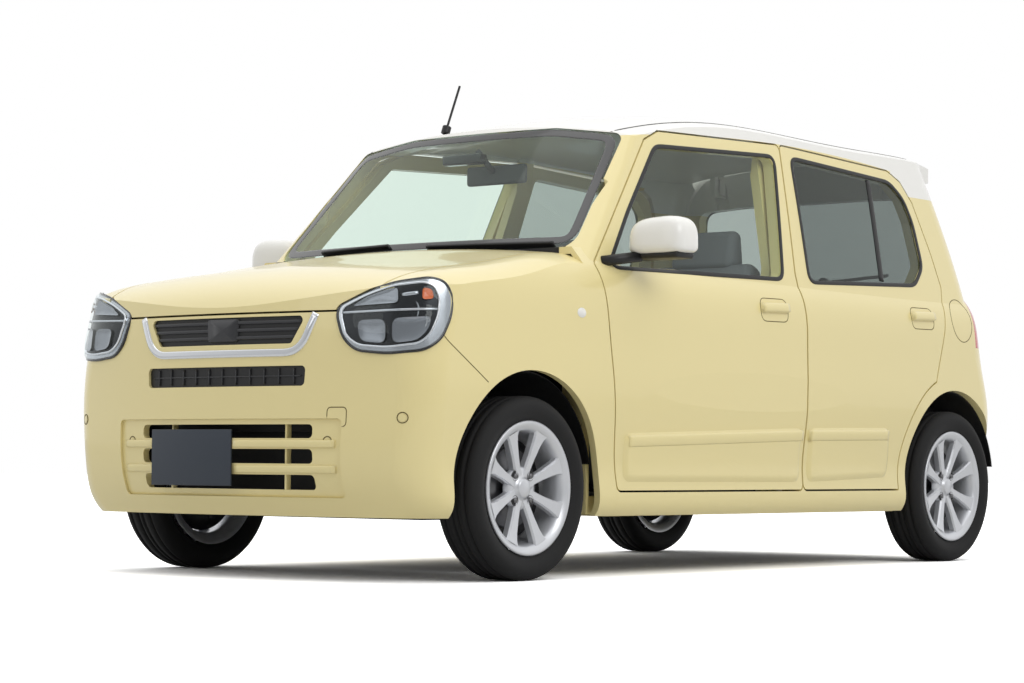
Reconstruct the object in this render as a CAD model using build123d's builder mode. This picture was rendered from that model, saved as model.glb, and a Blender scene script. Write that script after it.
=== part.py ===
from build123d import *
import os
from collections import namedtuple
from math import cos, radians, sin

os.makedirs("parts", exist_ok=True)

# Overall sizes, mm. X runs forward, Y to the car's left, Z up; the floor is Z = 0.
LENGTH = 3395.0
WIDTH = 1475.0
ROOF_HEIGHT = 1525.0
WHEELBASE = 2460.0
FRONT_OVERHANG = 557.5
TRACK = 1300.0
UNDERSIDE = 185.0
JACK_Z = 183.0

NOSE = LENGTH / 2
TAIL = -LENGTH / 2
HALF = WIDTH / 2
AXLE_F = NOSE - FRONT_OVERHANG
AXLE_R = AXLE_F - WHEELBASE

# Wheels
TYRE_R = 270.0
TYRE_W = 155.0
TYRE_SHOULDER = 18.0
BEAD_R = 178.0
RIM_W = 126.0
HUB_R = 27.0
HUB_FIT = 0.05
SPOKES = 8
NUT_PCD = 100.0
NUT_HOLE_R = 7.0
NUTS = 4
ARCH_R = 334.0
ARCH_Z = 281.0
ARCH_INNER_Y = 398.0
ARCH_INNER_Y_REAR = 520.0

# Wall thicknesses, measured in from the outer skin
DOOR_T = 75.0
FRAME_T = 42.0
ROOF_T = 34.0
PANEL_T = 22.0
BUMPER_T = 26.0
SKIN_T = 26.0
GLASS_OUT = 3.0
GLASS_IN = 8.0

# Gaps
SHUT = 6.0
HINGE_GAP = 7.5
SEAT_FIT = 0.3

# Plan outlines of the lower body, level by level:
# height, nose set-back, tail set-back, side set-back, end bows and corner rounds
Level = namedtuple("Level", "z nose tail side nose_bow tail_bow side_bow nose_r tail_r")
LOWER = [
    Level(UNDERSIDE - 20, 62, 50, 50, 70, 40, 20, 150, 130),
    Level(300, 8, 10, 14, 80, 40, 18, 118, 135),
    Level(480, 0, 0, 3, 84, 40, 16, 115, 138),
    Level(640, 4, 24, 0, 88, 40, 16, 130, 138),
    Level(790, 10, 58, 6, 96, 40, 16, 170, 138),
    Level(900, 30, 70, 24, 100, 40, 16, 190, 138),
    Level(955, 45, 84, 54, 100, 40, 16, 190, 138),
    Level(1030, 70, 130, 112, 100, 40, 16, 190, 138),
]
# Greenhouse outlines: height, windscreen front, tail front, half width and the same rounds
Deck = namedtuple("Deck", "z nose tail half nose_bow tail_bow side_bow nose_r tail_r")
UPPER = [
    Deck(870, 1004, -1604, 711, 88, 40, 14, 62, 140),
    Deck(1005, 880, -1592, 678, 86, 40, 14, 62, 140),
    Deck(1310, 606, -1512, 599, 78, 36, 12, 66, 125),
    Deck(1430, 500, -1470, 566, 74, 34, 10, 66, 115),
    Deck(1570, 380, -1420, 528, 70, 32, 10, 66, 100),
]
# Cross-arches that bound the bonnet and the roof from above
Arch = namedtuple("Arch", "x top crown_y drop side_y fall")
BONNET_ARCHES = [
    Arch(NOSE + 30, 690, 610, 20, 790, 150),
    Arch(NOSE - 52, 838, 610, 22, 780, 150),
    Arch(NOSE - 230, 915, 605, 24, 775, 150),
    Arch(NOSE - 500, 960, 600, 26, 765, 150),
    Arch(NOSE - 850, 1012, 590, 30, 760, 150),
]
COWL_X = NOSE - 850
COWL_Z = 1000.0
ROOF_ARCHES = [
    Arch(940, 1350, 505, 42, 640, 120),
    Arch(520, ROOF_HEIGHT - 97, 505, 42, 640, 120),
    Arch(60, ROOF_HEIGHT - 15, 500, 42, 640, 120),
    Arch(-420, ROOF_HEIGHT, 498, 42, 640, 120),
    Arch(-960, ROOF_HEIGHT - 8, 498, 42, 640, 120),
    Arch(TAIL + 20, ROOF_HEIGHT - 60, 495, 42, 640, 120),
]
# Below its round shoulder an arch spreads to clear the body's sides
FLARE = 110.0
FLARE_DROP = 300.0

FAR = 4000.0


def plan_face(z, nose, tail, half, nose_bow, tail_bow, side_bow, nose_r, tail_r):
    """A bowed car outline seen from above, with four rounded corners."""
    mid = (nose + tail) / 2
    edge = half - side_bow
    with BuildSketch(Plane.XY.offset(z)) as face:
        with BuildLine():
            ThreePointArc((nose - nose_bow, -edge), (nose, 0), (nose - nose_bow, edge))
            ThreePointArc((nose - nose_bow, edge), (mid, half), (tail + tail_bow, edge))
            ThreePointArc((tail + tail_bow, edge), (tail, 0), (tail + tail_bow, -edge))
            ThreePointArc((tail + tail_bow, -edge), (mid, -half), (nose - nose_bow, -edge))
        make_face()
        fillet(face.vertices().sort_by(Axis.X)[2:], nose_r)
        fillet(face.vertices().sort_by(Axis.X)[:2], tail_r)
    return face.sketch


def arch_loft(rows, inset):
    """A long tunnel through the cross-arches, lowered by the inset."""
    with BuildPart() as tunnel:
        for row in rows:
            top = row.top - inset
            edge = top - row.drop
            base = edge - row.fall
            with BuildSketch(Plane.YZ.offset(row.x)):
                with BuildLine():
                    ThreePointArc((-row.crown_y, edge), (0, top), (row.crown_y, edge))
                    lean = (1, -2 * row.drop / row.crown_y)
                    TangentArc((row.crown_y, edge), (row.side_y, base), tangent=lean)
                    foot = row.side_y + FLARE
                    Polyline((row.side_y, base), (foot, base - FLARE_DROP), (foot, 0), (-foot, 0),
                             (-foot, base - FLARE_DROP), (-row.side_y, base))
                    TangentArc((-row.crown_y, edge), (-row.side_y, base), tangent=(-lean[0], lean[1]))
                make_face()
        loft()
    return tunnel.part


def block(x0, x1, y0, y1, z0, z1):
    """A plain box between two corners."""
    with BuildPart(Location(((x0 + x1) / 2, (y0 + y1) / 2, (z0 + z1) / 2))) as made:
        Box(x1 - x0, y1 - y0, z1 - z0)
    return made.part


def take(whole, *cuts, keep=None):
    """The whole cut down to what lies in keep and outside every cut."""
    with BuildPart() as made:
        add(whole)
        if keep:
            add(keep, mode=Mode.INTERSECT)
        for cut in cuts:
            add(cut, mode=Mode.SUBTRACT)
    return made.part


def lower_body(inset):
    """The body below the windows, drawn in by the inset, its front lidded by the bonnet arches."""
    with BuildPart() as whole:
        for row in LOWER:
            add(plan_face(row.z, NOSE - row.nose - inset, TAIL + row.tail + inset, HALF - row.side - inset,
                          row.nose_bow, row.tail_bow, row.side_bow, row.nose_r, row.tail_r))
        loft()
    front = take(whole.part, keep=arch_loft(BONNET_ARCHES, inset))
    rear = take(whole.part, keep=block(TAIL, COWL_X, -HALF, HALF, 0, COWL_Z - inset))
    return front, rear


def upper_body(inset, roof_inset):
    """The greenhouse, drawn in by one inset at the sides and another at the roof."""
    with BuildPart() as body:
        for row in UPPER:
            add(plan_face(row.z, row.nose - inset, row.tail + inset, row.half - inset, *row[4:]))
        loft()
        add(arch_loft(ROOF_ARCHES, roof_inset), mode=Mode.INTERSECT)
    return body.part


def side_prism(points, grow=0.0, round_r=18.0, arch=None, both=False):
    """A side outline carried across the left half, or the whole width."""
    with BuildSketch(Plane.XZ) as face:
        with BuildLine():
            FilletPolyline(*points, radius=round_r, close=True)
        make_face()
        if arch:
            with Locations((arch[0], arch[1])):
                Circle(arch[2], mode=Mode.SUBTRACT)
        if grow:
            offset(amount=grow)
    with BuildPart() as made:
        add(face.sketch)
        extrude(amount=FAR, dir=(0, 1, 0), both=both)
    return made.part


def front_prism(points, x0, x1, grow=0.0, round_r=20.0):
    """A front-view outline carried along the car."""
    with BuildSketch(Plane.YZ.offset(x0)) as face:
        with BuildLine():
            FilletPolyline(*points, radius=round_r, close=True)
        make_face()
        if grow:
            offset(amount=grow)
    with BuildPart() as made:
        add(face.sketch)
        extrude(amount=x1 - x0, dir=(1, 0, 0))
    return made.part


def mirrored(points):
    """A front-view half outline joined to its mirror image."""
    return points + [(-y, z) for y, z in reversed(points)]


def flip(part):
    """The mirror image on the car's right."""
    return mirror(part, about=Plane.XZ)


def ship(parts, node):
    """Write one node's solids, named."""
    with BuildPart() as made:
        for part in parts:
            add(part)
    made.part.label = node
    export_step(made.part, "parts/" + node + ".step")


# Shut-line outlines seen from the side (x, z)
FRONT_DOOR = [(716, 262), (775, 835), (786, 948), (383, 1372), (297, 1408), (-401, 1429), (-324, 985),
              (-328, 800), (-310, 262)]
REAR_DOOR = [(-318, 262), (-336, 800), (-332, 985), (-409, 1429), (-1105, 1402), (-1182, 1368), (-1236, 1296),
             (-1290, 1110), (-1312, 990), (-1262, 832), (-1187, 650), (-1187, 262)]
FRONT_WINDOW = [(700, 950), (552, 1122), (330, 1352), (-348, 1380), (-240, 966)]
REAR_WINDOW = [(-415, 966), (-466, 1385), (-1100, 1355), (-1172, 1302), (-1200, 1220),
               (-1200, 1062), (-1120, 994)]
FENDER_GAP = 5.6
FENDER = [(FRONT_DOOR[0][0] + FENDER_GAP, 100)] + [(x + FENDER_GAP, z) for x, z in FRONT_DOOR[:3]]
FENDER = FENDER + [(852, 1004), (852, 1200), (1900, 1200), (1900, 100)]
NOSE_BUMPER = [(1345, 100), (1345, 574), (1530, 694), (1560, 772), (1900, 772), (1900, 100)]
TAIL_BUMPER = [(-1590, 100), (-1590, 540), (-1640, 606), (-1900, 606), (-1900, 100)]
DOOR_ARCH = (AXLE_R, ARCH_Z, ARCH_R + 54)

# Outlines seen from the front (y, z), left half
WINDSCREEN = [(0, 1000), (618, 1000), (548, 1388), (300, 1420), (0, 1428)]
HEADLAMP = [(414, 778), (430, 700), (521, 652), (640, 664), (720, 740), (790, 790), (790, 872), (640, 872),
            (520, 826)]
TAIL_LAMP = [(578, 776), (800, 776), (800, 1004), (600, 1004)]
TAILGATE = [(0, 612), (560, 612), (570, 770), (592, 1004), (520, 1320), (492, 1440), (492, 1600), (0, 1600)]
TAIL_WINDOW = [(0, 1012), (540, 1012), (476, 1330), (300, 1342), (0, 1348)]

# Lines that split panels across the car
BONNET_REAR = 938.0
BONNET_REAR_BOW = 88.0
BONNET_EDGE_Y = 588.0
BONNET_LIP_Z = 776.0
FIREWALL_X = 800.0
FIREWALL_T = 28.0
ROOF_EDGE_Y = 508.0
SHOULDER_Z = 1330.0
TAILGATE_X = -1398.0
LAMP_X = 1488.0
SILL_TOP = 254.0
SILL_IN = 560.0
SCUTTLE_Y = 592.0
FLOOR_TOP = 240.0
FLOOR_T = 18.0
REAR_FLOOR = 400.0
FLOOR_STEP_X = -620.0
REAR_FLOOR_Y = 512.0
REAR_FLOOR_END = -1560.0

# The outer skin and the hollows inside it
lower_front, lower_rear = lower_body(0)
upper_skin = upper_body(0, 0)
_, cabin_rear = lower_body(DOOR_T)
cabin_low = take(cabin_rear, keep=block(TAIL, FIREWALL_X, -HALF, HALF, 0, COWL_Z))
cabin_up = upper_body(FRAME_T, ROOF_T)
bay_front, bay_rear = lower_body(PANEL_T)
bay_link = take(bay_rear, keep=block(FIREWALL_X + FIREWALL_T, COWL_X, -HALF, HALF, 0, COWL_Z))
skin = take(lower_front + lower_rear + upper_skin)
shell = take(skin, cabin_low, cabin_up, bay_front, bay_link, block(TAIL, NOSE, -HALF, HALF, 0, UNDERSIDE))
left_half = block(TAIL - 100, NOSE + 100, 0, HALF + 100, 0, ROOF_HEIGHT + 100)
left = take(shell, keep=left_half)


def round_bar(r, start, end):
    """A round bar between two points."""
    line = Vector(*end) - Vector(*start)
    with BuildPart(Plane(origin=start, z_dir=line)) as made:
        Cylinder(r, line.length, align=(Align.CENTER, Align.CENTER, Align.MIN))
    return made.part


def arch_cut(x, inner_y):
    """The wheel opening on the left: a round top with straight sides down to the ground."""
    with BuildSketch(Plane.XZ.offset(-inner_y)) as face:
        with Locations((x, ARCH_Z)):
            Circle(ARCH_R)
        with Locations((x, ARCH_Z / 2)):
            Rectangle(2 * ARCH_R, ARCH_Z)
    with BuildPart() as made:
        add(face.sketch)
        extrude(amount=HALF, dir=(0, 1, 0))
    return made.part


def both_sides(part):
    """A left-hand piece together with its mirror image."""
    return part + flip(part)


# Hinges, drawn flat: x to the fixed side, y out of the skin, z along the pin
PIN_R = 4.5
PIN_FIT = 0.05
BARREL_R = 6.6
BARREL_H = 34.0
POCKET_H = 60.0
POCKET_OUT = 7.0
POCKET_BACK = 15.0
POCKET_DEEP = 125.0
ARM_IN = 82.0
ARM_T = 12.0
ARM_H = 24.0


def hinge(at, to_fixed, outward, reach, depth=ARM_IN):
    """Pocket and pin for the moving panel, and the knuckle on its arm for the fixed side."""
    place = Plane(origin=at, x_dir=to_fixed, z_dir=Vector(*to_fixed).cross(Vector(*outward))).location
    pocket = block(-POCKET_BACK, reach, -POCKET_DEEP, POCKET_OUT, -POCKET_H / 2, POCKET_H / 2)
    pin = round_bar(PIN_R, (0, 0, -POCKET_H / 2 - PIN_R), (0, 0, POCKET_H / 2 + PIN_R))
    barrel = round_bar(BARREL_R, (0, 0, -BARREL_H / 2), (0, 0, BARREL_H / 2))
    arm = block(-BARREL_R, PIN_R, -depth, 0, -ARM_H / 2, ARM_H / 2)
    bar = block(-BARREL_R, reach, -depth, ARM_T - depth, -ARM_H / 2, ARM_H / 2)
    bore = round_bar(PIN_R + PIN_FIT, (0, 0, -POCKET_H), (0, 0, POCKET_H))
    knuckle = take(barrel + arm + bar, bore)
    return place * pocket, place * pin, place * knuckle


DOOR_AXIS_Y = HALF - 18.5
FRONT_AXIS_X = 696.0
REAR_AXIS_X = -392.0
DOOR_HINGE_Z = (500.0, 730.0)
FRONT_POST = (792.0, 826.0)
REAR_POST = (-340.0, -258.0)
DOOR_ARM_IN = 92.0
POST_BITE = 8.0
POST_LEAN = 86.0
POST_Y = (592.0, 634.0)
REBATE = 11.0
BELT_STEP = 60.0

# Doors: full shell thickness, a stepped edge, windows cut out
front_open = side_prism(FRONT_DOOR, grow=SHUT)
rear_open = side_prism(REAR_DOOR, grow=SHUT, arch=DOOR_ARCH)
ZONE_ALLOW = 5.0
inside = [(HALF - row.side - SKIN_T - ZONE_ALLOW, row.z) for row in LOWER if row.z < UPPER[1].z - BELT_STEP]
inside = inside + [(row.half - SKIN_T - ZONE_ALLOW, row.z) for row in UPPER[1:]]
with BuildPart() as zone:
    with BuildSketch(Plane.YZ.offset(TAIL)):
        with BuildLine():
            Polyline((0, 0), (inside[0][0], 0), *inside, (0, inside[-1][1]), close=True)
        make_face()
    extrude(amount=LENGTH, dir=(1, 0, 0))
roof_guard = block(TAIL, NOSE, 0, ROOF_EDGE_Y + SHUT, SHOULDER_Z, ROOF_HEIGHT)
knuckles = []


def door(outline, arch, window, axis_x, post_x):
    """One left door with its hinge pockets and pins; its fixed knuckles are kept for the body side."""
    outer = take(left, zone.part, keep=side_prism(outline, arch=arch))
    ahead = block(axis_x - POCKET_BACK - 4, FAR, 0, HALF, 0, ROOF_HEIGHT)
    inner = take(left, ahead, keep=side_prism(outline, grow=-REBATE, arch=arch))
    made = take(outer + inner, side_prism(window, round_r=24.0), roof_guard)
    for z in DOOR_HINGE_Z:
        reach = post_x + POST_BITE - axis_x
        pocket, pin, knuckle = hinge((axis_x, DOOR_AXIS_Y, z), (1, 0, 0), (0, 1, 0), reach, DOOR_ARM_IN)
        made = take(made, pocket) + pin
        knuckles.append(knuckle)
    return made


front_door = door(FRONT_DOOR, None, FRONT_WINDOW, FRONT_AXIS_X, FRONT_POST[0])
rear_door = door(REAR_DOOR, DOOR_ARCH, REAR_WINDOW, REAR_AXIS_X, REAR_POST[0])


def glass_layer(inset):
    """The greenhouse surface alone, drawn in by the inset."""
    with BuildPart() as made:
        for row in UPPER:
            add(plan_face(row.z, row.nose - inset, row.tail + inset, row.half - inset, *row[4:]))
        loft()
    return made.part


pane = take(glass_layer(GLASS_OUT), glass_layer(GLASS_IN))
front_glass = take(pane, keep=side_prism(FRONT_WINDOW, grow=-SEAT_FIT, round_r=24.0))
rear_glass = take(pane, keep=side_prism(REAR_WINDOW, grow=-SEAT_FIT, round_r=24.0))
screen_points = mirrored(WINDSCREEN[1:-1])
windscreen = take(pane, keep=front_prism(screen_points, 300, 1100, grow=-SEAT_FIT, round_r=40.0))
screen_hole = front_prism(screen_points, 300, 1100, round_r=40.0)
tail_points = mirrored(TAIL_WINDOW[1:-1])
tail_glass = take(pane, keep=front_prism(tail_points, TAIL - 50, -1300, grow=-SEAT_FIT, round_r=50.0))
tail_hole = front_prism(tail_points, TAIL - 50, -1300, round_r=50.0)

# Front end
front_arch = arch_cut(AXLE_F, ARCH_INNER_Y)
rear_arch = arch_cut(AXLE_R, ARCH_INNER_Y_REAR)
LAMP_ROUND = 38.0
lamp_hole = front_prism(HEADLAMP, LAMP_X, NOSE + 100, round_r=LAMP_ROUND)
lamp_core = front_prism(HEADLAMP, LAMP_X + SEAT_FIT, NOSE + 100, grow=-SEAT_FIT, round_r=LAMP_ROUND)
nose_zone = side_prism(NOSE_BUMPER, both=True)
nose_clear = side_prism(NOSE_BUMPER, grow=SEAT_FIT, both=True)
with BuildPart() as bonnet_zone:
    with BuildSketch(Plane.XY.offset(BONNET_LIP_Z)):
        with BuildLine():
            rear_corner = BONNET_REAR - BONNET_REAR_BOW
            ThreePointArc((rear_corner, -BONNET_EDGE_Y), (BONNET_REAR, 0), (rear_corner, BONNET_EDGE_Y))
            Polyline((rear_corner, BONNET_EDGE_Y), (1480, BONNET_EDGE_Y - 14),
                     (NOSE + 50, BONNET_EDGE_Y - 60), (NOSE + 50, 60 - BONNET_EDGE_Y),
                     (1480, 14 - BONNET_EDGE_Y), (rear_corner, -BONNET_EDGE_Y))
        make_face()
    extrude(amount=300, dir=(0, 0, 1))
with BuildPart() as bonnet_clear:
    with BuildSketch(Plane.XY.offset(BONNET_LIP_Z - SHUT)):
        add(bonnet_zone.faces().sort_by(Axis.Z)[0].translate((0, 0, -SHUT)))
        offset(amount=SHUT)
    extrude(amount=320, dir=(0, 0, 1))
lamp_clear = front_prism(HEADLAMP, LAMP_X, NOSE + 100, grow=SHUT, round_r=LAMP_ROUND)
bonnet = take(shell, both_sides(lamp_clear), keep=bonnet_zone.part)
scuttle_clear = block(600, BONNET_REAR + 20, -SCUTTLE_Y, SCUTTLE_Y, 0, ROOF_HEIGHT)
fender = take(left, bay_front, bay_rear, nose_clear, bonnet_clear.part, lamp_hole, front_arch, scuttle_clear,
              keep=side_prism(FENDER, round_r=5.0))
scuttle = take(shell, bonnet_clear.part, screen_hole, both_sides(front_arch),
               keep=block(FIREWALL_X - 60, BONNET_REAR, SEAT_FIT - SCUTTLE_Y, SCUTTLE_Y - SEAT_FIT,
                          FLOOR_TOP + SEAT_FIT, COWL_Z + 40))
scuttle = scuttle + block(FIREWALL_X, FIREWALL_X + FIREWALL_T, SEAT_FIT - SCUTTLE_Y, SCUTTLE_Y - SEAT_FIT,
                          FLOOR_TOP + SEAT_FIT, COWL_Z - 42)
scuttle = take(scuttle, both_sides(front_arch))
front_bumper = take(shell, both_sides(lamp_hole), both_sides(front_arch), bonnet_clear.part, keep=nose_zone)
lamp = take(left, bonnet_clear.part, keep=lamp_core)

# Roof, tail and sides
SPOILER_TIP = -1592.0
SPOILER_Z = 1412.0
SPOILER_Y = 478.0
roof_zone = block(TAILGATE_X + HINGE_GAP, 900, -ROOF_EDGE_Y, ROOF_EDGE_Y, SHOULDER_Z, ROOF_HEIGHT + 50)
roof_clear = block(TAILGATE_X, 900, -ROOF_EDGE_Y - SEAT_FIT, ROOF_EDGE_Y + SEAT_FIT, SHOULDER_Z,
                   ROOF_HEIGHT + 50)
gate_points = mirrored(TAILGATE[1:-1])
gate_zone = front_prism(gate_points, TAIL - 50, TAILGATE_X, round_r=12.0)
gate_clear = front_prism(gate_points, TAIL - 50, TAILGATE_X + HINGE_GAP, grow=SHUT, round_r=12.0)
tail_zone = side_prism(TAIL_BUMPER, both=True)
tail_clear = side_prism(TAIL_BUMPER, grow=SEAT_FIT, both=True)
tail_lamp_hole = front_prism(TAIL_LAMP, TAIL - 50, -1490)
tail_lamp_core = front_prism(TAIL_LAMP, TAIL - 50, -1490 - SEAT_FIT, grow=-SEAT_FIT)
_, tail_hollow = lower_body(BUMPER_T)
tail_hollow = take(tail_hollow, keep=block(TAIL, -1420, -HALF, HALF, 0, 560))

roof = take(shell, screen_hole, keep=roof_zone)
gate = take(shell, tail_hole, keep=gate_zone)
tail_lamp = take(left, gate_clear, keep=tail_lamp_core)
rear_bumper = take(shell, both_sides(rear_arch), tail_hollow, gate_clear, keep=tail_zone)

sill = block(AXLE_R + ARCH_R + 12, FENDER[0][0] - 2, SILL_IN, HALF - 62, JACK_Z, SILL_TOP - SHUT - 4)
sill_toe = block(FENDER[0][0] - 8, FRONT_POST[0] + POST_BITE, SCUTTLE_Y + 8, HALF - 80, UNDERSIDE + 5,
                 SILL_TOP - SHUT - 4)
front_post = block(*FRONT_POST, POST_Y[0], HALF - 68, UNDERSIDE + 5, 900)
with BuildPart() as b_post:
    with BuildSketch(Plane.YZ.offset(-600)):
        with BuildLine():
            Polyline((POST_Y[0] - 20, UNDERSIDE + 5), (POST_Y[1], UNDERSIDE + 5), (POST_Y[1], 872),
                     (623, 1005), (545, 1310), (514, 1424), (514, 1440), (540, 1442), (540, 1466),
                     (490, 1466), (490, 1400), (511, 1310), (589, 1005), (POST_Y[0], 872), close=True)
        make_face()
    extrude(amount=500, dir=(1, 0, 0))
    add(side_prism([(REAR_POST[0], 100), (REAR_POST[1], 100), (REAR_POST[1], 960),
                    (REAR_POST[1] - POST_LEAN, 1480), (REAR_POST[0] - POST_LEAN, 1480), (REAR_POST[0], 960)],
                   round_r=3.0), mode=Mode.INTERSECT)
side = take(left, front_open, rear_open, front_arch, rear_arch, screen_hole, roof_clear, gate_clear,
            tail_clear, tail_lamp_hole, side_prism(FENDER, grow=SEAT_FIT, round_r=5.0), scuttle_clear,
            block(TAIL, AXLE_R, 0, ARCH_INNER_Y_REAR, 0, 612))
side = side + sill + sill_toe + take(front_post, front_arch) + take(b_post.part, roof_clear)
for knuckle in knuckles:
    side = side + knuckle

# Bumper openings seen from the front (y, z), left half: grille mask, upper slot, lower intake
GRILLE = [(0, 682), (268, 682), (318, 762), (0, 762)]
SLOT = [(0, 560), (318, 560), (322, 618), (0, 618)]
INTAKE = [(0, 240), (446, 240), (452, 466), (0, 466)]
INTAKE_ROWS = [(262, 305), (337, 379), (410, 450)]
INTAKE_Y = 346.0
INSERT_BACK = 9.0
INSERT_FIT = 0.2
OPENING_ROUND = 14.0


def bumper_hole(rows, grow=0.0):
    """A bumper opening carried through the nose."""
    return front_prism(mirrored(rows[1:-1]), NOSE - 120, NOSE + 50, grow=grow, round_r=OPENING_ROUND)


inserts = []
for rows in (GRILLE, SLOT, INTAKE):
    insert = take(front_bumper, keep=bumper_hole(rows, -INSERT_FIT))
    inserts.append(insert.translate((-INSERT_BACK, 0, 0)))
front_bumper = take(front_bumper, *[bumper_hole(rows) for rows in (GRILLE, SLOT, INTAKE)])
intake_panel = inserts.pop()
for low, high in INTAKE_ROWS:
    intake_panel = take(intake_panel, bumper_hole([(0, low), (INTAKE_Y, low), (INTAKE_Y, high), (0, high)]))

# Bonnet and tailgate hinges
BONNET_HINGE = (BONNET_REAR - 24, 470.0, 972.0)
GATE_HINGE = (TAILGATE_X - 42, 370.0, 1462.0)
GATE_BRACKET = 76.0
# Radius that each panel's hinged edge sweeps, taken out of what stands beside it
BONNET_SWING = 43.5
GATE_SWING = 67.0
bonnet_y = BONNET_HINGE[1] + POCKET_H / 2
scuttle = take(scuttle, round_bar(BONNET_SWING, (BONNET_HINGE[0], -bonnet_y, BONNET_HINGE[2]),
                                  (BONNET_HINGE[0], bonnet_y, BONNET_HINGE[2])))
roof = take(roof, round_bar(GATE_SWING, (GATE_HINGE[0], -ROOF_EDGE_Y, GATE_HINGE[2]),
                            (GATE_HINGE[0], ROOF_EDGE_Y, GATE_HINGE[2])))
for y in (-BONNET_HINGE[1], BONNET_HINGE[1]):
    at = (BONNET_HINGE[0], y, BONNET_HINGE[2])
    pocket, pin, knuckle = hinge(at, (-1, 0, 0), (0, 0, 1), BONNET_HINGE[0] - FIREWALL_X - FIREWALL_T / 2)
    bonnet = take(bonnet, pocket) + pin
    scuttle = scuttle + knuckle

# Plate fixing holes on the tailgate and the spoiler above its glass
PLATE_Z = 690.0
PLATE_SPACING = 210.0
PLATE_HOLE_R = 3.5
for y in (-PLATE_SPACING / 2, PLATE_SPACING / 2):
    gate = take(gate, round_bar(PLATE_HOLE_R, (TAIL - 50, y, PLATE_Z), (TAIL + 300, y, PLATE_Z)))
spoiler_side = [(TAILGATE_X, 1340), (-1490, 1384), (SPOILER_TIP, SPOILER_Z), (SPOILER_TIP, ROOF_HEIGHT),
                (TAILGATE_X, ROOF_HEIGHT)]
with BuildPart() as spoiler_plan:
    with BuildSketch(Plane.XY.offset(1300)):
        with BuildLine():
            FilletPolyline((TAILGATE_X, -SPOILER_Y - 12), (TAILGATE_X, SPOILER_Y + 12),
                           (SPOILER_TIP + 30, SPOILER_Y), (SPOILER_TIP, 250), (SPOILER_TIP, -250),
                           (SPOILER_TIP + 30, -SPOILER_Y), radius=8, close=True)
        make_face()
    extrude(amount=260, dir=(0, 0, 1))
spoiler = take(arch_loft(ROOF_ARCHES, 0), cabin_up, keep=spoiler_plan.part)
spoiler = take(spoiler, keep=side_prism(spoiler_side, round_r=3.0, both=True))
gate = take(gate + spoiler, tail_hole)
for y in (-GATE_HINGE[1], GATE_HINGE[1]):
    at = (GATE_HINGE[0], y, GATE_HINGE[2])
    pocket, pin, knuckle = hinge(at, (1, 0, 0), (0, 0, 1), GATE_BRACKET)
    gate = take(gate, pocket) + pin
    x = GATE_HINGE[0] + GATE_BRACKET
    roof = roof + knuckle + block(x - 20, x, y - ARM_H / 2, y + ARM_H / 2, at[2] - ARM_IN, at[2] + 5)

# Floor, structure and running gear, from tables of plain blocks and round bars on the left half
Block = namedtuple("Block", "x0 x1 y0 y1 z0 z1")
Bar = namedtuple("Bar", "r start end")


def build(blocks, bars=()):
    """The blocks and bars of a table joined into one piece."""
    with BuildPart() as made:
        for row in blocks:
            add(block(*row))
        for row in bars:
            add(round_bar(*row))
    return made.part


FLOOR_Y = SILL_IN - SEAT_FIT
REAR_UNDER = REAR_FLOOR - FLOOR_T
STEP_BACK = FLOOR_STEP_X + FLOOR_T
WALL_FRONT = REAR_FLOOR_END + FLOOR_T
EYE_R = 17.0
EYE_T = 12.0
EYE_AT = (REAR_FLOOR_END - 40, 350.0, 330.0)
FLOOR_BLOCKS = [
    Block(FLOOR_STEP_X, FIREWALL_X, -FLOOR_Y, FLOOR_Y, FLOOR_TOP - FLOOR_T, FLOOR_TOP),
    Block(REAR_FLOOR_END, STEP_BACK, -REAR_FLOOR_Y, REAR_FLOOR_Y, REAR_UNDER, REAR_FLOOR),
    Block(FLOOR_STEP_X, STEP_BACK, -REAR_FLOOR_Y, REAR_FLOOR_Y, FLOOR_TOP - FLOOR_T, REAR_FLOOR),
    Block(REAR_FLOOR_END, WALL_FRONT, -REAR_FLOOR_Y, REAR_FLOOR_Y, REAR_FLOOR, 598),
    Block(EYE_AT[0] - 36, WALL_FRONT, EYE_AT[1] - EYE_T / 2, EYE_AT[1] + EYE_T / 2, 296, REAR_FLOOR - 2),
]
floor = take(build(FLOOR_BLOCKS), round_bar(EYE_R, (EYE_AT[0], 0, EYE_AT[2]), (EYE_AT[0], HALF, EYE_AT[2])))

BALL = (AXLE_F, 585.0, 184.0)
STRUT_TOP = (AXLE_F, 490.0, 804.0)
BALL_R = 10.0
HUB_OUT = TRACK / 2 + 36
HUB_Z = TYRE_R


def on_strut(z):
    """The point of the steering axis at a height."""
    part = (z - BALL[2]) / (STRUT_TOP[2] - BALL[2])
    return (BALL[0], BALL[1] + part * (STRUT_TOP[1] - BALL[1]), z)


RAIL_Y = (340.0, 392.0)
RAIL_Z = (430.0, 520.0)
RAIL_END = 1600.0
TOWER_Y = RAIL_Y[1] - 8
FRAME_BLOCKS = [
    Block(FIREWALL_X + FIREWALL_T + SEAT_FIT, RAIL_END, *RAIL_Y, *RAIL_Z),
    Block(AXLE_F - 40, AXLE_F + 40, *RAIL_Y, 200, 460),
    Block(AXLE_F - 25, AXLE_F + 25, RAIL_Y[0], BALL[1] + 20, 172, 196),
    Block(AXLE_F - 140, AXLE_F + 140, TOWER_Y, RAIL_Y[1], 500, 808),
    Block(AXLE_F - 80, AXLE_F + 80, TOWER_Y, 570, 800, 808),
]
CROSS_TOP = 230.0
CROSS_BLOCKS = [
    Block(AXLE_F - 100, AXLE_F + 100, -RAIL_Y[1], RAIL_Y[1], 172, CROSS_TOP),
    Block(RAIL_END - 40, RAIL_END, -520, 520, *RAIL_Z),
    Block(1500, 1532, -320, 320, 250, 700),
    Block(1520, 1570, -320, 320, *RAIL_Z),
]
half_frame = take(build(FRAME_BLOCKS), round_bar(BALL_R + PIN_FIT, on_strut(120), on_strut(900)))
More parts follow.
